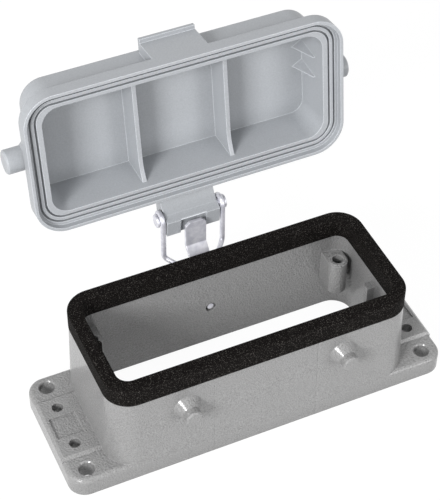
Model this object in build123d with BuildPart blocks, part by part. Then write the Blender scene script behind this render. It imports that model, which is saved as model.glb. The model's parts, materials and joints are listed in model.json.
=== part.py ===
"""Bulkhead housing of a heavy duty rectangular connector, with its hinged protective cover standing open.

Millimetres, +Z up. The origin is on the underside of the flange, at the middle of the opening.
X runs along the housing, and the hinge is behind it, at +Y. The cover is drawn in a plane of its own,
which lies on the edge of its skirt: there x is the part's X, y points to the hinge and z to the back.
"""
from build123d import *
import os
from math import cos, radians, tan

# Walls of the housing
body_height = 29.8
body_bottom_length = 91.0
flange_width = 39.6
end_wall_draft = 1.1
long_wall_draft = 0.7
body_corner_radius = 7.2
wall_thickness = 2.1
root_fillet = 1.0
tongue_height = 3.0
tongue_thickness = 1.1
tongue_outer_inset = 0.5
body_top_length = body_bottom_length - 2 * end_wall_draft
body_top_width = flange_width - 2 * long_wall_draft

# Flange of the housing
mount_body_distance = 6.0
mount_edge_distance_x = 5.4
mount_edge_distance_y = 4.3
mount_hole_radius = 2.15
mount_countersink_radius = 2.45
mount_spacing_x = body_bottom_length + 2 * mount_body_distance
mount_spacing_y = flange_width - 2 * mount_edge_distance_y
flange_length = mount_spacing_x + 2 * mount_edge_distance_x
flange_thickness = 5.8
flange_corner_radius = 5.0
flange_edge_radius = 1.4
pad_width_y = 20.6
pad_rise = 0.8
pad_slope = 0.7
small_hole_spacing_y = 13.6
small_hole_radius = 1.6
label_recess_length = 7.6
label_recess_width = 7.4
label_recess_depth = 0.5

# Bosses for the insert's screws, and the short post on each end wall
boss_end_inset = 6.4
boss_side_inset = 6.5
boss_spacing_x = body_top_length - 2 * boss_end_inset
boss_spacing_y = body_top_width - 2 * boss_side_inset
boss_radius = 2.9
boss_top_height = 22.3
boss_depth = 11.0
boss_hole_radius = 1.65
boss_hole_depth = 9.0
boss_ring_radius = 2.5
boss_ring_rise = 0.4
post_radius = 1.2
post_depth = 7.0

# Locking pegs on the long walls
peg_spacing_x = 46.6
peg_height = 22.2
peg_radius = 2.4
peg_reach = 5.0
peg_collar_radius = 4.7
peg_collar_length = 2.6
peg_edge_chamfer = 0.4

# Rubber gasket on the rim of the housing
gasket_end_overhang = 0.1
gasket_side_overhang = 0.3
gasket_height = 5.9
gasket_section_width = 4.0
gasket_corner_radius = 7.5
gasket_edge_radius = 0.5
gasket_groove_clearance = 0.05
gasket_nub_radius = 1.4
gasket_nub_reach = 0.9
gasket_length = body_top_length + 2 * gasket_end_overhang
gasket_width = body_top_width + 2 * gasket_side_overhang

# Cover
skirt_gap_end = 0.4
skirt_gap_side = 1.0
skirt_wall = 0.9
seat_depth = 1.8
seat_clearance = 0.1
rim_height = 4.2
seal_groove_insets = (0.9, 2.4)
seal_groove_width = 0.6
seal_groove_depth = 1.0
seat_band_end = 4.5
seat_band_side = 4.0
mouth_corner_radius = 5.0
cover_inner_depth = 14.3
cover_wall = 1.9
cover_back_wall = 2.2
cover_end_draft = 1.5
cover_side_draft = 5.0
cover_outer_draft = 1.0
cover_back_radius = 1.8
rib_spacing_x = 26.4
rib_thickness = 1.2
rib_height = 8.3
rib_foot_reach = 2.6
rib_foot_length = 8.0
gusset_heights = (6.3, 0.0)
gusset_width = 5.2
gusset_base = 3.4
gusset_reach = 8.0
gusset_tip = 0.4
end_pin_radius = 3.4
end_pin_reach = 4.4
end_pin_depth = 8.2
end_pin_chamfer = 0.4
end_flare_width = 15.0
end_flare_reach = 3.0
grip_width = 16.0
grip_start = 1.0
grip_end = 14.0
grip_lip_thickness = 1.1
grip_lip_rise = 1.2

# Hinge
open_angle = 98.0
hinge_rise = 4.3
hinge_setback = 12.6
lug_width = 16.2
lug_lip_radius = 2.86
lug_arm_thickness = 2.9
lug_arm_offset = 2.2
lug_bend_length = 7.5
lug_heel = (5.1, -1.7)
lug_toe = (4.2, 3.1)
lug_notch_gap = 0.8
lug_notch_depth = 1.1
pin_radius = 1.3
pin_clearance = 0.06
pin_head_radius = 2.0
pin_head_length = 0.7
pin_head_gap = 0.1
bracket_thickness = 1.0
bracket_width = 6.2
bracket_foot_drop = 3.5
bracket_tongue_length = 8.7
bracket_tongue_gap = 0.4
bracket_tongue_drop = 0.4
bracket_corner_chamfer = 1.2
bracket_ear_width = 5.0
bracket_ear_wall = 0.8
bracket_ear_rise = 3.6
bracket_fit = 0.04
rivet_height = 14.4
rivet_radius = 1.0
rivet_clearance = 0.05
rivet_head_radius = 1.9
rivet_head_height = 0.6
rivet_recess_radius = 1.6
rivet_recess_depth = 0.8
rivet_end_depth = 0.4
wire_radius = 0.75
wire_side_gap = 0.3
wire_eye_clearance = 0.08
wire_eye_turn = 262.0
wire_leg_length = 13.0
wire_cross_half = 4.4
wire_bend_radius = 1.6

# Flat seal in the underside of the flange
seal_body_distance = 1.0
seal_edge_distance = 0.65
seal_strip = 1.0
seal_thickness = 0.8
seal_side_clearance = 0.05
seal_length = body_bottom_length + 2 * seal_body_distance
seal_width = flange_width - 2 * seal_edge_distance


def wall_half_width(height):
    """Distance from the middle plane to the outside of a long wall, at a height above the panel."""
    return (flange_width - (flange_width - body_top_width) * height / body_height) / 2


def wall_half_length(height):
    """Distance from the middle plane to the outside of an end wall, at a height above the panel."""
    return (body_bottom_length - (body_bottom_length - body_top_length) * height / body_height) / 2


# Places that follow from the sizes above
gasket_bottom = body_height
gasket_top = gasket_bottom + gasket_height
hinge_height = gasket_top + hinge_rise
hinge_distance = gasket_width / 2 + hinge_setback
closed_rim_height = gasket_top - seat_depth + seat_clearance
hinge_point = Vector(0, hinge_distance, hinge_height)
closed_rim_centre = Vector(0, 0, closed_rim_height)
open_rim_centre = hinge_point + (closed_rim_centre - hinge_point).rotate(Axis.X, -open_angle)
cover_back_direction = Vector(0, 0, 1).rotate(Axis.X, -open_angle)
cover_plane = Plane(origin=open_rim_centre, x_dir=(1, 0, 0), z_dir=cover_back_direction)
hinge_z = hinge_height - closed_rim_height
skirt_length = gasket_length + 2 * (skirt_gap_end + skirt_wall)
skirt_width = gasket_width + 2 * (skirt_gap_side + skirt_wall)
skirt_corner_radius = gasket_corner_radius + skirt_gap_end + skirt_wall
inside_length = skirt_length - 2 * skirt_wall
inside_width = skirt_width - 2 * skirt_wall
inside_radius = skirt_corner_radius - skirt_wall
mouth_length = inside_length - 2 * seat_band_end
mouth_width = inside_width - 2 * seat_band_side
cover_height = cover_inner_depth + cover_back_wall
end_taper = tan(radians(cover_end_draft))
side_taper = tan(radians(cover_side_draft))
outer_taper = tan(radians(cover_outer_draft))
end_pin_span = skirt_length + 2 * end_pin_reach
tongue_rear = hinge_distance - lug_lip_radius - bracket_tongue_gap
tongue_front = tongue_rear - bracket_thickness
tongue_top = hinge_height - bracket_tongue_drop
wire_x = lug_width / 2 + wire_side_gap + wire_radius
eye_radius = pin_radius + wire_eye_clearance + wire_radius
bracket_seat_height = tongue_top - bracket_tongue_length - (tongue_front - wall_half_width(body_height))
bracket_seat = wall_half_width(bracket_seat_height)
joggle_rise = tongue_front - bracket_seat
bracket_bend_height = tongue_top - bracket_tongue_length - joggle_rise
bracket_middle = bracket_seat + bracket_thickness / 2
slant = cos(radians(45))
wire_centre_y = bracket_middle + bracket_ear_rise + (bracket_thickness / 2 + wire_radius) * slant
wire_centre_z = bracket_bend_height + bracket_ear_rise - (bracket_thickness / 2 + wire_radius) * slant


def shell_size(depth):
    """Length, width and corner radius of the hollow of the cover, at a depth behind the skirt's edge."""
    end_narrowing = 2 * end_taper * (depth - seat_depth)
    side_narrowing = 2 * side_taper * (depth - seat_depth)
    radius = mouth_corner_radius - side_narrowing / 2
    return mouth_length - end_narrowing, mouth_width - side_narrowing, radius


def cover_side_plane(x):
    """Plane across the cover at x, in which the sketch's x is the cover's y and its y is the cover's z."""
    origin = cover_plane.from_local_coords(Vector(x, 0, 0))
    return Plane(origin=origin, x_dir=cover_plane.y_dir, z_dir=(1, 0, 0))


# Housing: one aluminium casting with its flange, walls, bosses, posts and pegs
with BuildPart() as housing:
    with BuildSketch():
        RectangleRounded(flange_length, flange_width, flange_corner_radius)
    extrude(amount=flange_thickness)
    fillet(housing.edges().group_by(Axis.Z)[-1], flange_edge_radius)

    pad_length = (flange_length - body_top_length) / 2
    for start in (-flange_length / 2, flange_length / 2 - pad_length):
        with BuildSketch(Plane.YZ.offset(start)):
            with BuildLine():
                Polyline(
                    (-pad_width_y / 2 - pad_slope, 0),
                    (-pad_width_y / 2 - pad_slope, flange_thickness),
                    (-pad_width_y / 2, flange_thickness + pad_rise),
                    (pad_width_y / 2, flange_thickness + pad_rise),
                    (pad_width_y / 2 + pad_slope, flange_thickness),
                    (pad_width_y / 2 + pad_slope, 0),
                    close=True,
                )
            make_face()
        extrude(amount=pad_length)
    pad_edges = housing.edges().filter_by(Axis.Y).group_by(Axis.Z)[-1].sort_by(Axis.X)
    chamfer([pad_edges[0], pad_edges[-1]], pad_rise)

    with BuildSketch():
        RectangleRounded(body_bottom_length, flange_width, body_corner_radius + root_fillet)
    with BuildSketch(Plane.XY.offset(body_height)):
        RectangleRounded(body_top_length, body_top_width, body_corner_radius)
    loft()

    tongue_length = body_top_length - 2 * tongue_outer_inset
    tongue_width = body_top_width - 2 * tongue_outer_inset
    with BuildSketch(Plane.XY.offset(body_height)):
        RectangleRounded(tongue_length, tongue_width, body_corner_radius - tongue_outer_inset)
    extrude(amount=tongue_height)

    with BuildSketch():
        inner_radius = body_corner_radius + root_fillet - wall_thickness
        inner_length = body_bottom_length - 2 * wall_thickness
        inner_width = flange_width - 2 * wall_thickness
        RectangleRounded(inner_length, inner_width, inner_radius)
    with BuildSketch(Plane.XY.offset(body_height)):
        inner_radius = body_corner_radius - wall_thickness
        inner_length = body_top_length - 2 * wall_thickness
        inner_width = body_top_width - 2 * wall_thickness
        RectangleRounded(inner_length, inner_width, inner_radius)
    loft(mode=Mode.SUBTRACT)
    with BuildSketch(Plane.XY.offset(body_height)):
        slit = tongue_outer_inset + tongue_thickness
        inner_radius = body_corner_radius - slit
        RectangleRounded(body_top_length - 2 * slit, body_top_width - 2 * slit, inner_radius)
    extrude(amount=tongue_height, mode=Mode.SUBTRACT)

    with BuildSketch(Plane.XY.offset(boss_top_height - boss_depth)):
        web_length = wall_half_width(boss_top_height) - wall_thickness / 2 - boss_spacing_y / 2
        for side_x in (-1, 1):
            for side_y in (-1, 1):
                with Locations((side_x * boss_spacing_x / 2, side_y * boss_spacing_y / 2)):
                    Circle(boss_radius)
                with Locations((side_x * boss_spacing_x / 2, side_y * (boss_spacing_y + web_length) / 2)):
                    Rectangle(2 * boss_radius, web_length)
    extrude(amount=boss_depth)
    with BuildSketch(Plane.XY.offset(boss_top_height)):
        with GridLocations(boss_spacing_x, boss_spacing_y, 2, 2):
            Circle(boss_ring_radius)
    extrude(amount=boss_ring_rise)
    with Locations(Plane.XY.offset(boss_top_height + boss_ring_rise)):
        with GridLocations(boss_spacing_x, boss_spacing_y, 2, 2):
            Hole(boss_hole_radius, depth=boss_hole_depth)

    with BuildSketch(Plane.XY.offset(boss_top_height - post_depth)):
        post_x = wall_half_length(boss_top_height) - wall_thickness - post_radius / 2
        with Locations((post_x, 0), (-post_x, 0)):
            Rectangle(post_radius + wall_thickness, 2 * post_radius)
        with Locations((post_x - post_radius / 2, 0), (-post_x + post_radius / 2, 0)):
            Circle(post_radius)
    extrude(amount=post_depth)

    for side_y in (-1, 1):
        wall_y = wall_half_width(peg_height)
        peg_plane = Plane(origin=(0, 0, peg_height), x_dir=(-side_y, 0, 0), z_dir=(0, side_y, 0))
        with BuildSketch(peg_plane.offset(wall_y - wall_thickness / 2)):
            with Locations((peg_spacing_x / 2, 0), (-peg_spacing_x / 2, 0)):
                Circle(peg_radius)
        extrude(amount=peg_reach + wall_thickness / 2)
        tips = housing.faces().sort_by(Axis.Y)[-2:] if side_y > 0 else housing.faces().sort_by(Axis.Y)[:2]
        chamfer(tips.edges(), peg_edge_chamfer)
        for side_x in (-1, 1):
            with BuildSketch(peg_plane.offset(wall_y - wall_thickness / 2)):
                with Locations((side_x * peg_spacing_x / 2, 0)):
                    Circle(peg_collar_radius)
            with BuildSketch(peg_plane.offset(wall_y + peg_collar_length)):
                with Locations((side_x * peg_spacing_x / 2, 0)):
                    Circle(peg_radius)
            loft()

    with Locations(Plane.XY.offset(flange_thickness)):
        with GridLocations(mount_spacing_x, mount_spacing_y, 2, 2):
            CounterSinkHole(mount_hole_radius, mount_countersink_radius)
    with Locations(Plane.XY.offset(flange_thickness + pad_rise)):
        with GridLocations(mount_spacing_x, small_hole_spacing_y, 2, 2):
            Hole(small_hole_radius)
    with BuildSketch(Plane.XY.offset(flange_thickness + pad_rise)):
        with Locations((mount_spacing_x / 2, 0), (-mount_spacing_x / 2, 0)):
            Rectangle(label_recess_length, label_recess_width)
    extrude(amount=-label_recess_depth, mode=Mode.SUBTRACT)

    rivet_plane = Plane(origin=(0, 0, rivet_height), x_dir=(-1, 0, 0), z_dir=(0, 1, 0))
    inner_wall = wall_half_width(rivet_height) - wall_thickness
    with BuildSketch(rivet_plane.offset(inner_wall)):
        Circle(rivet_radius + rivet_clearance)
    extrude(amount=2 * wall_thickness, mode=Mode.SUBTRACT)
    with BuildSketch(rivet_plane.offset(inner_wall - wall_thickness)):
        Circle(rivet_recess_radius)
    extrude(amount=wall_thickness + rivet_recess_depth, mode=Mode.SUBTRACT)
    with BuildSketch(rivet_plane.offset(bracket_seat)):
        with Locations((0, (bracket_bend_height - bracket_foot_drop - rivet_height) / 2)):
            Rectangle(bracket_width + 2 * bracket_fit, bracket_bend_height - rivet_height + bracket_foot_drop)
    extrude(amount=wall_thickness, mode=Mode.SUBTRACT)

    with BuildSketch():
        RectangleRounded(seal_length, seal_width, body_corner_radius)
        inner_length = seal_length - 2 * seal_strip
        inner_width = seal_width - 2 * seal_strip
        inner_radius = body_corner_radius - seal_strip
        RectangleRounded(inner_length, inner_width, inner_radius, mode=Mode.SUBTRACT)
    extrude(amount=seal_thickness, mode=Mode.SUBTRACT)

housing.part.label = "housing"

# Gasket: a rubber ring whose groove sits on the tongue along the rim
with BuildPart() as gasket:
    with BuildSketch(Plane.XY.offset(gasket_bottom)):
        RectangleRounded(gasket_length, gasket_width, gasket_corner_radius)
        inner_cut = 2 * gasket_section_width
        inner_radius = gasket_corner_radius - gasket_section_width
        inner_length = gasket_length - inner_cut
        inner_width = gasket_width - inner_cut
        RectangleRounded(inner_length, inner_width, inner_radius, mode=Mode.SUBTRACT)
    extrude(amount=gasket_height)
    fillet(gasket.edges().group_by(Axis.Z)[-1], gasket_edge_radius)
    with BuildSketch(Plane.XY.offset(gasket_bottom)):
        nub_x = -gasket_length / 2 + gasket_section_width + gasket_nub_reach - gasket_nub_radius
        with Locations((nub_x, 0)):
            Circle(gasket_nub_radius)
    extrude(amount=gasket_height - gasket_edge_radius)
    with BuildSketch(Plane.XY.offset(gasket_bottom)):
        grow = 2 * gasket_groove_clearance
        outer_radius = body_corner_radius - tongue_outer_inset + gasket_groove_clearance
        RectangleRounded(tongue_length + grow, tongue_width + grow, outer_radius)
        shrink = 2 * (tongue_thickness + gasket_groove_clearance)
        inner_radius = outer_radius - tongue_thickness - grow
        RectangleRounded(tongue_length - shrink, tongue_width - shrink, inner_radius, mode=Mode.SUBTRACT)
    extrude(amount=tongue_height, mode=Mode.SUBTRACT)

gasket.part.label = "rim_gasket"

# Cover: one plastic moulding with its skirt, ribs, end pins, grip and hinge lug
with BuildPart() as cover:
    with BuildSketch(cover_plane):
        RectangleRounded(skirt_length, skirt_width, skirt_corner_radius)
    extrude(amount=rim_height)

    for depth in (seat_depth, cover_height):
        with BuildSketch(cover_plane.offset(depth)):
            growth = 2 * cover_wall - 2 * outer_taper * (depth - seat_depth)
            RectangleRounded(mouth_length + growth, mouth_width + growth, mouth_corner_radius + cover_wall)
    loft()
    back_direction = Axis(cover_plane.origin, cover_plane.z_dir)
    back_face = cover.faces().filter_by(cover_plane).sort_by(back_direction)[-1]
    fillet(back_face.edges(), cover_back_radius)

    pin_plane = Plane(
        origin=cover_plane.from_local_coords(Vector(0, 0, end_pin_depth)),
        x_dir=cover_plane.y_dir,
        z_dir=(1, 0, 0),
    )
    with BuildSketch(pin_plane.offset(-end_pin_span / 2)):
        Circle(end_pin_radius)
    extrude(amount=end_pin_span)
    pin_ends = cover.faces().sort_by(Axis.X)[:1] + cover.faces().sort_by(Axis.X)[-1:]
    chamfer(pin_ends.edges(), end_pin_chamfer)
    flare_root = shell_size(end_pin_depth)[0] / 2 + cover_wall / 2
    for side in (-1, 1):
        with BuildSketch(pin_plane.offset(side * flare_root)):
            RectangleRounded(end_flare_width, 2 * end_pin_radius, end_pin_radius - end_pin_chamfer)
        with BuildSketch(pin_plane.offset(side * (flare_root + cover_wall / 2 + end_flare_reach))):
            flare_height = 2 * end_pin_radius - end_pin_chamfer
            RectangleRounded(2 * end_pin_radius, flare_height, end_pin_radius - end_pin_chamfer)
        loft()

    with BuildSketch(cover_side_plane(-grip_width / 2)):
        with BuildLine():
            plate = -skirt_width / 2
            Polyline(
                (plate, grip_start),
                (plate, grip_end - grip_lip_thickness),
                (plate - grip_lip_rise, grip_end - grip_lip_thickness),
                (plate - grip_lip_rise, grip_end),
                (-mouth_width / 2, grip_end),
                (-mouth_width / 2, grip_start),
                close=True,
            )
        make_face()
    extrude(amount=grip_width)

    with BuildSketch(cover_side_plane(-lug_width / 2)):
        with BuildLine():
            arm_root = mouth_width / 2 + cover_wall / 2
            arm_under = hinge_z + lug_arm_offset
            bend = (hinge_distance - lug_bend_length, arm_under)
            lip = (hinge_distance, hinge_z - lug_lip_radius)
            under = Line((arm_root, arm_under), bend)
            hollow = TangentArc(under @ 1, lip, tangent=(1, 0))
            heel = Line(hollow @ 1, (hinge_distance + lug_heel[0], hinge_z + lug_heel[1]))
            toe = Line(heel @ 1, (hinge_distance + lug_toe[0], hinge_z + lug_toe[1]))
            back = Line(toe @ 1, (hinge_distance, arm_under + lug_arm_thickness))
            arm_back = Line(back @ 1, (arm_root, arm_under + lug_arm_thickness))
            Line(arm_back @ 1, under @ 0)
        make_face()
    extrude(amount=lug_width)

    with BuildSketch(cover_plane.offset(seat_depth)):
        RectangleRounded(*shell_size(seat_depth))
    with BuildSketch(cover_plane.offset(cover_inner_depth)):
        RectangleRounded(*shell_size(cover_inner_depth))
    loft(mode=Mode.SUBTRACT)

    with BuildSketch(cover_plane):
        RectangleRounded(inside_length, inside_width, inside_radius)
    extrude(amount=seat_depth, mode=Mode.SUBTRACT)
    for outer in seal_groove_insets:
        inner = outer + seal_groove_width
        with BuildSketch(cover_plane.offset(seat_depth)):
            RectangleRounded(inside_length - 2 * outer, inside_width - 2 * outer, inside_radius - outer)
            RectangleRounded(
                inside_length - 2 * inner, inside_width - 2 * inner, inside_radius - inner, mode=Mode.SUBTRACT
            )
        extrude(amount=seal_groove_depth, mode=Mode.SUBTRACT)

    rib_top = cover_inner_depth - rib_height
    rib_root = cover_inner_depth + cover_back_wall / 2
    rib_reach = (shell_size(rib_top - rib_foot_reach)[1] + cover_wall) / 2
    for x in (-rib_spacing_x / 2, rib_spacing_x / 2):
        with BuildSketch(cover_side_plane(x - rib_thickness / 2)):
            with BuildLine():
                foot_start = (rib_reach - rib_foot_length, rib_top)
                straight = Line((-rib_reach, rib_top), foot_start)
                foot = TangentArc(straight @ 1, (rib_reach, rib_top - rib_foot_reach), tangent=(1, 0))
                Polyline(foot @ 1, (rib_reach, rib_root), (-rib_reach, rib_root), straight @ 0)
            make_face()
        extrude(amount=rib_thickness)

    floor_half_length = shell_size(cover_inner_depth)[0] / 2
    for side in (-1, 1):
        for height in gusset_heights:
            wall = side * (floor_half_length + cover_wall / 2)
            foot = side * (floor_half_length - gusset_base)
            top = side * (floor_half_length - gusset_tip)
            with BuildSketch(cover_plane.offset(rib_root)):
                with BuildLine():
                    Polyline(
                        (wall, -height - gusset_width / 2),
                        (foot, -height),
                        (wall, -height + gusset_width / 2),
                        close=True,
                    )
                make_face()
            with BuildSketch(cover_plane.offset(cover_inner_depth - gusset_reach)):
                with BuildLine():
                    Polyline(
                        (wall, -height - gusset_tip),
                        (top, -height),
                        (wall, -height + gusset_tip),
                        close=True,
                    )
                make_face()
            loft()

    lug_side = (-lug_width / 2, hinge_distance, hinge_height)
    hinge_plane = Plane(origin=lug_side, x_dir=(0, 1, 0), z_dir=(1, 0, 0))
    with BuildSketch(hinge_plane):
        Circle(pin_radius + pin_clearance)
    extrude(amount=lug_width, mode=Mode.SUBTRACT)
    notch_width = bracket_width + 2 * lug_notch_gap
    notch_top = tongue_top + lug_notch_gap
    notch_rear = tongue_rear + bracket_tongue_gap + lug_notch_depth
    with BuildSketch(Plane(origin=(-notch_width / 2, 0, 0), x_dir=(0, 1, 0), z_dir=(1, 0, 0))):
        with BuildLine():
            Polyline(
                (tongue_front, notch_top),
                (notch_rear, notch_top),
                (notch_rear, hinge_height - 2 * lug_heel[0]),
                (tongue_front, hinge_height - 2 * lug_heel[0]),
                close=True,
            )
        make_face()
    extrude(amount=notch_width, mode=Mode.SUBTRACT)

cover.part.label = "cover"

# Bracket: a steel strip with a foot on the rear wall, an upright tongue and a rolled ear for the wire
with BuildPart() as bracket:
    with BuildSketch(Plane(origin=(-bracket_width / 2, 0, 0), x_dir=(0, 1, 0), z_dir=(1, 0, 0))):
        with BuildLine():
            FilletPolyline(
                (bracket_middle, rivet_height - bracket_foot_drop),
                (bracket_middle, bracket_bend_height),
                (bracket_middle + joggle_rise, bracket_bend_height + joggle_rise),
                (bracket_middle + joggle_rise, tongue_top),
                radius=bracket_thickness,
            )
        trace(line_width=bracket_thickness)
    extrude(amount=bracket_width)
    corners = bracket.edges().filter_by(Axis.Y).group_by(Axis.Z)[-1]
    chamfer(corners, bracket_corner_chamfer)
    ear_plane = Plane(origin=(-bracket_ear_width / 2, 0, 0), x_dir=(0, 1, 0), z_dir=(1, 0, 0))
    with BuildSketch(ear_plane):
        with Locations((wire_centre_y, wire_centre_z)):
            Circle(wire_radius + bracket_fit + bracket_ear_wall)
    extrude(amount=bracket_ear_width)
    with BuildSketch(ear_plane):
        with Locations((wire_centre_y, wire_centre_z)):
            Circle(wire_radius + bracket_fit)
    extrude(amount=bracket_ear_width, mode=Mode.SUBTRACT)
    with BuildSketch(rivet_plane.offset(bracket_seat - bracket_thickness)):
        Circle(rivet_radius + rivet_clearance)
    extrude(amount=3 * bracket_thickness, mode=Mode.SUBTRACT)

bracket.part.label = "hinge_bracket"

# Rivet through the rear wall and the foot of the bracket
with BuildPart() as rivet:
    rivet_inner = inner_wall + rivet_end_depth
    rivet_outer = bracket_seat + bracket_thickness
    with BuildSketch(rivet_plane.offset(rivet_inner)):
        Circle(rivet_radius)
    extrude(amount=rivet_outer - rivet_inner)
    with BuildSketch(rivet_plane.offset(rivet_outer)):
        Circle(rivet_head_radius)
    extrude(amount=rivet_head_height)
    fillet(rivet.faces().sort_by(Axis.Y)[-1].edges(), rivet_head_height / 2)

rivet.part.label = "bracket_rivet"

# Wire: an open eye on each side of the lug, two legs and a cross part in the bracket's ear
with BuildPart() as wire:
    leg_y = hinge_distance - eye_radius
    with BuildLine() as wire_path:
        FilletPolyline(
            (wire_x, leg_y, hinge_height),
            (wire_x, leg_y, hinge_height - wire_leg_length),
            (wire_cross_half, wire_centre_y, wire_centre_z),
            (-wire_cross_half, wire_centre_y, wire_centre_z),
            (-wire_x, leg_y, hinge_height - wire_leg_length),
            (-wire_x, leg_y, hinge_height),
            radius=wire_bend_radius,
        )
        for x in (wire_x, -wire_x):
            with BuildLine(Plane(origin=(x, hinge_distance, hinge_height), x_dir=(0, 1, 0), z_dir=(1, 0, 0))):
                CenterArc((0, 0), eye_radius, start_angle=180, arc_size=-wire_eye_turn)
    wire_start = wire_path.wire() @ 0
    with BuildSketch(Plane(origin=wire_start, z_dir=wire_path.wire() % 0)):
        Circle(wire_radius)
    sweep(path=wire_path.wire())

wire.part.label = "hinge_wire"

# Hinge pin with a head at each end
with BuildPart() as pin:
    pin_half = wire_x + wire_radius + pin_head_gap
    with BuildSketch(hinge_plane.offset(lug_width / 2 - pin_half)):
        Circle(pin_radius)
    extrude(amount=2 * pin_half)
    for start in (-pin_half - pin_head_length, pin_half):
        with BuildSketch(hinge_plane.offset(lug_width / 2 + start)):
            Circle(pin_head_radius)
        extrude(amount=pin_head_length)
    pin_faces = pin.faces().sort_by(Axis.X)[:1] + pin.faces().sort_by(Axis.X)[-1:]
    fillet(pin_faces.edges(), pin_head_length / 2)

pin.part.label = "hinge_pin"

# Seal in the groove of the underside
with BuildPart() as seal:
    slack = seal_side_clearance
    with BuildSketch():
        RectangleRounded(seal_length - 2 * slack, seal_width - 2 * slack, body_corner_radius - slack)
        inner = 2 * (seal_strip - slack)
        RectangleRounded(
            seal_length - inner, seal_width - inner, body_corner_radius - inner / 2, mode=Mode.SUBTRACT
        )
    extrude(amount=seal_thickness)

seal.part.label = "panel_seal"

# Export, one file for each piece
os.makedirs("parts", exist_ok=True)
for piece in (housing, gasket, cover, bracket, rivet, wire, pin, seal):
    export_step(piece.part, f"parts/{piece.part.label}.step")
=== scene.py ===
"""Studio scene of a bulkhead connector housing whose hinged cover stands open.

Every length is in metres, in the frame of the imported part: X along the housing, +Y to the hinge, Z up.
"""

import json
import logging
import math
from dataclasses import dataclass
from enum import Enum

import bpy
from mathutils import Color, Matrix, Vector

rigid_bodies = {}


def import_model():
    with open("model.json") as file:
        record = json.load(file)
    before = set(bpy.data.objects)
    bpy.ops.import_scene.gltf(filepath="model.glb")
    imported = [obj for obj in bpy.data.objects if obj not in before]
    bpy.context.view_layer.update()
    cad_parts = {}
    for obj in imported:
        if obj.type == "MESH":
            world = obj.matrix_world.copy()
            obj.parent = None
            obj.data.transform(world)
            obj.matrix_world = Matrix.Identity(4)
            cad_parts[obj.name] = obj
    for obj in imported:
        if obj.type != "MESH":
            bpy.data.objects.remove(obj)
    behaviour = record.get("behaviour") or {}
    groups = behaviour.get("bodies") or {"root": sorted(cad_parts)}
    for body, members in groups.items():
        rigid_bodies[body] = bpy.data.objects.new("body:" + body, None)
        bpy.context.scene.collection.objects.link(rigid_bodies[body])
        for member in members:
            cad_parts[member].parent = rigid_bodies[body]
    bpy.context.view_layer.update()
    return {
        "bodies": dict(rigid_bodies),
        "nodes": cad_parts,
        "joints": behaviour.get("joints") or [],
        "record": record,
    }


LOG = logging.getLogger("housing")
MM = 0.001
FULL_CHANNEL = 255
PHOTO_SIZE = (440, 500)
BEVEL_SAMPLES = 6
HOLLOW_SAMPLES = 8

Colour = tuple[float, float, float, float]
Place = tuple[float, float, float]


class Slot(Enum):
    """Material slots of the record."""

    PAINT = "painted_casting"
    PLASTIC = "cover_plastic"
    RUBBER = "gasket_rubber"
    STEEL = "bright_steel"


NODE_SLOTS = {
    "housing": Slot.PAINT,
    "rim_gasket": Slot.RUBBER,
    "panel_seal": Slot.RUBBER,
    "cover": Slot.PLASTIC,
    "hinge_bracket": Slot.STEEL,
    "hinge_wire": Slot.STEEL,
    "hinge_pin": Slot.STEEL,
    "bracket_rivet": Slot.STEEL,
}


def srgb(red: float, green: float, blue: float) -> Colour:
    """Turns a display colour into the linear one that shaders take.

    Args:
        red: Red, from 0 to 255.
        green: Green, from 0 to 255.
        blue: Blue, from 0 to 255.

    Returns:
        The linear colour with an alpha of 1.
    """
    shown = Color((red / FULL_CHANNEL, green / FULL_CHANNEL, blue / FULL_CHANNEL))
    return *shown.from_srgb_to_scene_linear(), 1.0


def facing(place: Vector, back: Vector) -> Matrix:
    """Works out how a camera or a lamp stands.

    Args:
        place: Where it stands.
        back: Direction from what it faces to itself.

    Returns:
        Its matrix in the world.
    """
    return Matrix.Translation(place) @ back.to_track_quat("Z", "Y").to_matrix().to_4x4()


def seen_directly(tree: bpy.types.NodeTree) -> bpy.types.NodeSocket:
    """Tells the rays that show a surface from those that light others.

    Args:
        tree: The node tree that gets the nodes.

    Returns:
        Socket that is 1 for camera and glossy rays and 0 for all others.
    """
    rays = tree.nodes.new("ShaderNodeLightPath")
    seen = tree.nodes.new("ShaderNodeMath")
    seen.operation = "MAXIMUM"
    tree.links.new(rays.outputs["Is Camera Ray"], seen.inputs[0])
    tree.links.new(rays.outputs["Is Glossy Ray"], seen.inputs[1])
    return seen.outputs[0]


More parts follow.
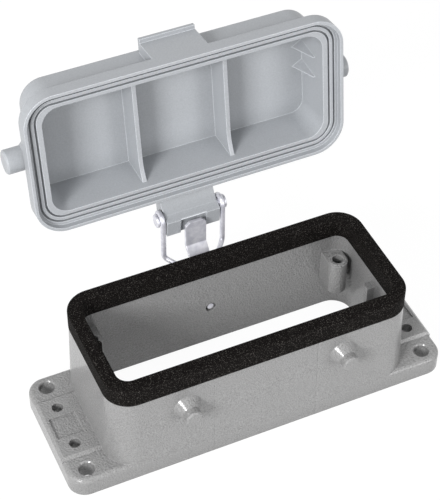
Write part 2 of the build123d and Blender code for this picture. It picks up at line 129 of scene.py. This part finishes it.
@dataclass
class NodeMaterial:
    """A node material that is being put together."""

    name: str

    def __post_init__(self) -> None:
        """Makes the material with its coordinates, shader and output."""
        self.material = bpy.data.materials.new(self.name)
        self.material.use_nodes = True
        self.tree = self.material.node_tree
        self.shader = self.tree.nodes["Principled BSDF"]
        self.output = self.tree.nodes["Material Output"]
        self.coordinates = self.tree.nodes.new("ShaderNodeTexCoord")

    def node(self, kind: str, **settings: object) -> bpy.types.Node:
        """Adds a node.

        Args:
            kind: The node's type name.
            settings: Attributes of the node, or numbers for its inputs by name.

        Returns:
            The new node.
        """
        made = self.tree.nodes.new(kind)
        for key, value in settings.items():
            if hasattr(made, key):
                setattr(made, key, value)
            else:
                made.inputs[key.replace("_", " ").title()].default_value = value
        return made

    def link(self, start: bpy.types.NodeSocket, end: bpy.types.NodeSocket) -> None:
        """Joins two sockets."""
        self.tree.links.new(start, end)

    def math(self, operation: str, *values: object) -> bpy.types.NodeSocket:
        """Adds a math node.

        Args:
            operation: The node's operation.
            values: Sockets or numbers that it takes, in order.

        Returns:
            The socket with the result.
        """
        made = self.node("ShaderNodeMath", operation=operation)
        for socket, value in zip(made.inputs, values):
            if isinstance(value, bpy.types.NodeSocket):
                self.link(value, socket)
            else:
                socket.default_value = value
        return made.outputs[0]

    def noise(self, size: float, detail: float = 2.0, roughness: float = 0.5) -> bpy.types.NodeSocket:
        """Adds noise on the object's coordinates.

        Args:
            size: Length of one ripple, in metres.
            detail: Octaves of the noise.
            roughness: Strength of each further octave.

        Returns:
            Socket with the noise, from 0 to 1.
        """
        made = self.node("ShaderNodeTexNoise", Scale=1 / size, Detail=detail, Roughness=roughness)
        self.link(self.coordinates.outputs["Object"], made.inputs["Vector"])
        return made.outputs["Fac"]

    def bump(self, height: bpy.types.NodeSocket, depth: float) -> None:
        """Adds a bump in front of those that the shader already has.

        Args:
            height: Socket with the height, from 0 to 1.
            depth: Depth of the bump, in metres.
        """
        made = self.node("ShaderNodeBump", Distance=depth)
        self.link(height, made.inputs["Height"])
        normal = self.shader.inputs["Normal"]
        if normal.is_linked:
            self.link(normal.links[0].from_socket, made.inputs["Normal"])
        self.link(made.outputs["Normal"], normal)

    def rounded(self, radius: float) -> bpy.types.NodeSocket:
        """Adds the normal that the surface would have with rounded edges.

        Args:
            radius: Radius of the rounding, in metres.

        Returns:
            Socket with the normal.
        """
        return self.node("ShaderNodeBevel", samples=BEVEL_SAMPLES, Radius=radius).outputs["Normal"]

    def soften(self, radius: float) -> None:
        """Rounds the look of sharp edges.

        Args:
            radius: Radius of the rounding, in metres.
        """
        self.link(self.rounded(radius), self.shader.inputs["Normal"])

    def colour_by(self, value: bpy.types.NodeSocket, stops: dict[float, Colour]) -> None:
        """Gives the base colour from a ramp.

        Args:
            value: Socket with the place on the ramp.
            stops: Two colours by their place on the ramp.
        """
        made = self.node("ShaderNodeValToRGB")
        for element, (place, colour) in zip(made.color_ramp.elements, sorted(stops.items())):
            element.position = place
            element.color = colour
        self.link(value, made.inputs["Fac"])
        self.link(made.outputs["Color"], self.shader.inputs["Base Color"])

    def scale_colour(self, factor: bpy.types.NodeSocket) -> None:
        """Multiplies the base colour.

        Args:
            factor: Socket with the factor.
        """
        colour = self.shader.inputs["Base Color"]
        scaled = self.node("ShaderNodeVectorMath", operation="SCALE")
        self.link(colour.links[0].from_socket, scaled.inputs["Vector"])
        self.link(factor, scaled.inputs["Scale"])
        self.link(scaled.outputs["Vector"], colour)

    def paint_corner_shade(self, reach: float, darkest: float) -> None:
        """Paints shade into the base colour, darkening it in corners and hollows.

        Args:
            reach: How far a corner's shade reaches, in metres.
            darkest: Share of the colour that stays in the deepest corner, where the painted shade is
                darkest.
        """
        # Painted shade: ambient occlusion scales the base colour down in corners and hollows.
        hollow = self.node("ShaderNodeAmbientOcclusion", samples=HOLLOW_SAMPLES, Distance=reach)
        share = self.node("ShaderNodeMapRange")
        share.inputs["To Min"].default_value = darkest
        self.link(hollow.outputs["AO"], share.inputs["Value"])
        self.scale_colour(share.outputs["Result"])

    def paint_edge_highlight(self, width: float, gain: float) -> None:
        """Paints a highlight into the base colour, lightening it along sharp edges as if they caught the
        light.

        Args:
            width: Width of the painted highlight line, in metres.
            gain: How much lighter the painted highlight makes the colour as the surface turns.
        """
        # Painted highlight: where the rounded normal turns away from the true one, the base colour is
        # scaled up.
        straight = self.node("ShaderNodeNewGeometry")
        agreement = self.node("ShaderNodeVectorMath", operation="DOT_PRODUCT")
        self.link(self.rounded(width), agreement.inputs[0])
        self.link(straight.outputs["Normal"], agreement.inputs[1])
        turn = self.math("SUBTRACT", 1.0, agreement.outputs["Value"])
        self.scale_colour(self.math("MULTIPLY_ADD", turn, gain, 1.0))

    def finish(self, **values: float | Colour) -> bpy.types.Material:
        """Sets the shader's own values.

        Args:
            values: Values by the name of the shader's socket, with _ for a space.

        Returns:
            The finished material.
        """
        for key, value in values.items():
            self.shader.inputs[key.replace("_", " ")].default_value = value
        return self.material


@dataclass(frozen=True)
class PaintedCasting:
    """Grey paint with a fine orange peel over a rough casting, with painted shade in its corners and a
    painted highlight along its edges.
    """

    light: Colour = srgb(149, 149, 149)
    dark: Colour = srgb(120, 119, 119)
    dark_end: float = 0.30
    light_start: float = 0.62
    edge_radius: float = 0.35 * MM
    # Painted shade in corners and hollows, and a painted highlight along sharp edges, both in the base
    # colour.
    corner_reach: float = 7 * MM
    corner_shade: float = 0.72
    edge_highlight_width: float = 0.45 * MM
    edge_highlight_gain: float = 1.2
    peel_size: float = 0.60 * MM
    peel_depth: float = 0.40 * MM
    grain_size: float = 0.30 * MM
    grain_depth: float = 0.05 * MM
    grain_roughness: float = 0.6
    roughness: float = 0.42
    coat: float = 0.6
    coat_roughness: float = 0.15
    seam_place: float = 15.4 * MM
    seam_width: float = 0.35 * MM
    seam_depth: float = 0.10 * MM
    seam_wall: float = 17.8 * MM

    def seam(self, paint: NodeMaterial) -> bpy.types.NodeSocket:
        """Marks the two upright mould seams on each long wall.

        Args:
            paint: The paint that gets the seams.

        Returns:
            Socket that is 1 away from a seam and 0 in its middle.
        """
        split = paint.node("ShaderNodeSeparateXYZ")
        paint.link(paint.coordinates.outputs["Object"], split.inputs["Vector"])
        across = paint.math("ABSOLUTE", split.outputs["X"])
        distance = paint.math("ABSOLUTE", paint.math("SUBTRACT", across, self.seam_place))
        away = paint.math("MINIMUM", paint.math("DIVIDE", distance, self.seam_width), 1.0)
        inside = paint.math("LESS_THAN", paint.math("ABSOLUTE", split.outputs["Y"]), self.seam_wall)
        return paint.math("MAXIMUM", away, inside)

    def make(self) -> bpy.types.Material:
        """Makes the paint."""
        paint = NodeMaterial("housing_paint")
        paint.soften(self.edge_radius)
        grain = paint.noise(self.grain_size, roughness=self.grain_roughness)
        paint.colour_by(grain, {self.dark_end: self.dark, self.light_start: self.light})
        # Painted shade in corners, then a painted highlight on edges.
        paint.paint_corner_shade(self.corner_reach, self.corner_shade)
        paint.paint_edge_highlight(self.edge_highlight_width, self.edge_highlight_gain)
        paint.bump(paint.noise(self.peel_size), self.peel_depth)
        paint.bump(grain, self.grain_depth)
        paint.bump(self.seam(paint), self.seam_depth)
        return paint.finish(
            Roughness=self.roughness, Coat_Weight=self.coat, Coat_Roughness=self.coat_roughness
        )


@dataclass(frozen=True)
class CoverPlastic:
    """Pale grey moulded plastic with a faint texture, with painted shade in its corners and a painted
    highlight along its edges.
    """

    light: Colour = srgb(171, 174, 178)
    dark: Colour = srgb(162, 165, 169)
    dark_end: float = 0.35
    light_start: float = 0.65
    edge_radius: float = 0.30 * MM
    # Painted shade in corners and hollows, and a painted highlight along sharp edges, both in the base
    # colour.
    corner_reach: float = 6 * MM
    corner_shade: float = 0.82
    edge_highlight_width: float = 0.45 * MM
    edge_highlight_gain: float = 2.0
    texture_size: float = 0.35 * MM
    texture_depth: float = 0.010 * MM
    wave_size: float = 7 * MM
    wave_depth: float = 0.05 * MM
    wave_detail: float = 1.0
    roughness: float = 0.40

    def make(self) -> bpy.types.Material:
        """Makes the plastic."""
        plastic = NodeMaterial("cover_plastic")
        plastic.soften(self.edge_radius)
        texture = plastic.noise(self.texture_size)
        plastic.colour_by(texture, {self.dark_end: self.dark, self.light_start: self.light})
        # Painted shade in corners, then a painted highlight on edges.
        plastic.paint_corner_shade(self.corner_reach, self.corner_shade)
        plastic.paint_edge_highlight(self.edge_highlight_width, self.edge_highlight_gain)
        plastic.bump(texture, self.texture_depth)
        plastic.bump(plastic.noise(self.wave_size, detail=self.wave_detail), self.wave_depth)
        return plastic.finish(Roughness=self.roughness)


@dataclass(frozen=True)
class BlackRubber:
    """Near black rubber with pale specks in its skin."""

    body: Colour = srgb(10, 8, 7)
    speck: Colour = srgb(150, 145, 140)
    body_end: float = 0.58
    speck_start: float = 0.82
    speck_size: float = 0.26 * MM
    speck_depth: float = 0.10 * MM
    speck_detail: float = 3.0
    speck_roughness: float = 0.7
    edge_radius: float = 0.25 * MM
    roughness: float = 0.8
    shine: float = 0.07

    def make(self) -> bpy.types.Material:
        """Makes the rubber."""
        rubber = NodeMaterial("gasket_rubber")
        rubber.soften(self.edge_radius)
        specks = rubber.noise(self.speck_size, self.speck_detail, self.speck_roughness)
        rubber.colour_by(specks, {self.body_end: self.body, self.speck_start: self.speck})
        rubber.bump(specks, self.speck_depth)
        return rubber.finish(Roughness=self.roughness, Specular_IOR_Level=self.shine)


@dataclass(frozen=True)
class BrightSteel:
    """Zinc plated steel, drawn or pressed."""

    colour: Colour = srgb(232, 232, 238)
    stain: Colour = srgb(204, 204, 214)
    stain_end: float = 0.3
    colour_start: float = 0.7
    stain_size: float = 1.6 * MM
    stain_detail: float = 3.0
    scratch_size: float = 0.25 * MM
    scratch_depth: float = 0.012 * MM
    edge_radius: float = 0.2 * MM
    roughness: float = 0.40
    metal_share: float = 0.45

    def make(self) -> bpy.types.Material:
        """Makes the plated steel."""
        steel = NodeMaterial("bright_steel")
        steel.soften(self.edge_radius)
        stains = steel.noise(self.stain_size, detail=self.stain_detail)
        steel.colour_by(stains, {self.stain_end: self.stain, self.colour_start: self.colour})
        steel.bump(steel.noise(self.scratch_size), self.scratch_depth)
        return steel.finish(Metallic=self.metal_share, Roughness=self.roughness)


@dataclass
class Housing:
    """The casting with its cover, its seals and the parts of its hinge."""

    frame: dict

    def dress(self) -> None:
        """Gives each carried-over node the finish of its slot."""
        finishes = {
            Slot.PAINT: PaintedCasting().make(),
            Slot.RUBBER: BlackRubber().make(),
            Slot.STEEL: BrightSteel().make(),
            Slot.PLASTIC: CoverPlastic().make(),
        }
        for node, slot in NODE_SLOTS.items():
            materials = self.frame["nodes"][node].data.materials
            materials.clear()
            materials.append(finishes[slot])
            LOG.info("%s wears %s", node, finishes[slot].name)


@dataclass(frozen=True)
class PhotoCamera:
    """The camera, at the photo's viewing angle."""

    target_mm: Place = (-3.56, 14.82, 45.85)
    azimuth: float = -24.09
    elevation: float = 44.95
    distance: float = 439.09 * MM
    focal_pixels: float = 1612.38
    centre: tuple[float, float] = (203.33, 238.99)
    sensor_height: float = 36.0
    nearest: float = 0.01
    farthest: float = 20

    def place(self) -> None:
        """Puts the camera up."""
        width, height = PHOTO_SIZE
        data = bpy.data.cameras.new("camera")
        data.sensor_fit = "VERTICAL"
        data.sensor_height = self.sensor_height
        data.lens = self.focal_pixels / height * self.sensor_height
        data.shift_x = (width / 2 - self.centre[0]) / height
        data.shift_y = (self.centre[1] - height / 2) / height
        data.clip_start = self.nearest
        data.clip_end = self.farthest
        camera = bpy.data.objects.new("camera", data)
        bpy.context.scene.collection.objects.link(camera)
        azimuth, elevation = math.radians(self.azimuth), math.radians(self.elevation)
        back = Vector((
            math.sin(azimuth) * math.cos(elevation),
            -math.cos(azimuth) * math.cos(elevation),
            math.sin(elevation),
        ))
        camera.matrix_world = facing(Vector(self.target_mm) * MM + back * self.distance, back)
        bpy.context.scene.camera = camera


@dataclass(frozen=True)
class Lamp:
    """A square soft light, with the length of its side and its power."""

    name: str
    place: Place
    aim: Place
    side: float
    watts: float

    def hang(self) -> None:
        """Hangs the light."""
        data = bpy.data.lights.new(self.name, "AREA")
        data.shape = "SQUARE"
        data.size = self.side
        data.energy = self.watts
        light = bpy.data.objects.new(self.name, data)
        bpy.context.scene.collection.objects.link(light)
        light.matrix_world = facing(Vector(self.place), Vector(self.place) - Vector(self.aim))


@dataclass(frozen=True)
class Floor:
    """A white floor that shows white to the camera and keeps the object's shadow."""

    side: float = 6.0
    drop: float = 0.2 * MM
    colour: Colour = (0.55, 0.55, 0.55, 1)
    roughness: float = 0.9
    glow: float = 1.1
    glow_share: float = 0.86

    def lay(self) -> None:
        """Lays the floor just under the object."""
        bpy.ops.mesh.primitive_plane_add(size=self.side, location=(0, 0, -self.drop))
        floor = bpy.context.object
        floor.name = "floor"
        paper = NodeMaterial("floor_paper")
        glow = paper.node("ShaderNodeEmission", Strength=self.glow)
        mix = paper.node("ShaderNodeMixShader")
        paper.link(paper.math("MULTIPLY", seen_directly(paper.tree), self.glow_share), mix.inputs["Fac"])
        paper.link(paper.shader.outputs[0], mix.inputs[1])
        paper.link(glow.outputs[0], mix.inputs[2])
        paper.link(mix.outputs[0], paper.output.inputs["Surface"])
        floor.data.materials.append(paper.finish(Base_Color=self.colour, Roughness=self.roughness))


@dataclass(frozen=True)
class Sky:
    """Even light from all sides, with white behind the object."""

    light: float = 0.42

    def spread(self) -> None:
        """Makes the world."""
        world = bpy.data.worlds.new("studio")
        bpy.context.scene.world = world
        world.use_nodes = True
        tree = world.node_tree
        background = tree.nodes["Background"]
        background.inputs["Color"].default_value = (1, 1, 1, 1)
        level = tree.nodes.new("ShaderNodeMapRange")
        level.inputs["To Min"].default_value = self.light
        tree.links.new(seen_directly(tree), level.inputs["Value"])
        tree.links.new(level.outputs["Result"], background.inputs["Strength"])


@dataclass(frozen=True)
class Studio:
    """Pale floor, soft lights and the camera."""

    lamps: tuple[Lamp, ...] = (
        Lamp("key", place=(-0.93, -0.66, 0.66), aim=(0, 0, 0.04), side=0.4, watts=16.5),
        Lamp("top", place=(-0.20, -0.10, 1.1), aim=(0, 0, 0.04), side=0.6, watts=2.2),
        Lamp("fill", place=(0.60, -0.9, 0.34), aim=(0, 0, 0.03), side=0.4, watts=3.4),
    )

    def build(self) -> None:
        """Sets up the whole studio."""
        bpy.context.scene.view_settings.view_transform = "Standard"
        PhotoCamera().place()
        Floor().lay()
        Sky().spread()
        for lamp in self.lamps:
            lamp.hang()


def main(frame: dict) -> None:
    """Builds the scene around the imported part.
    """
    logging.basicConfig(level=logging.INFO, format="%(name)s: %(message)s")
    Studio().build()
    Housing(frame).dress()


if __name__ == "__main__":
    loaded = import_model()
    main(loaded)
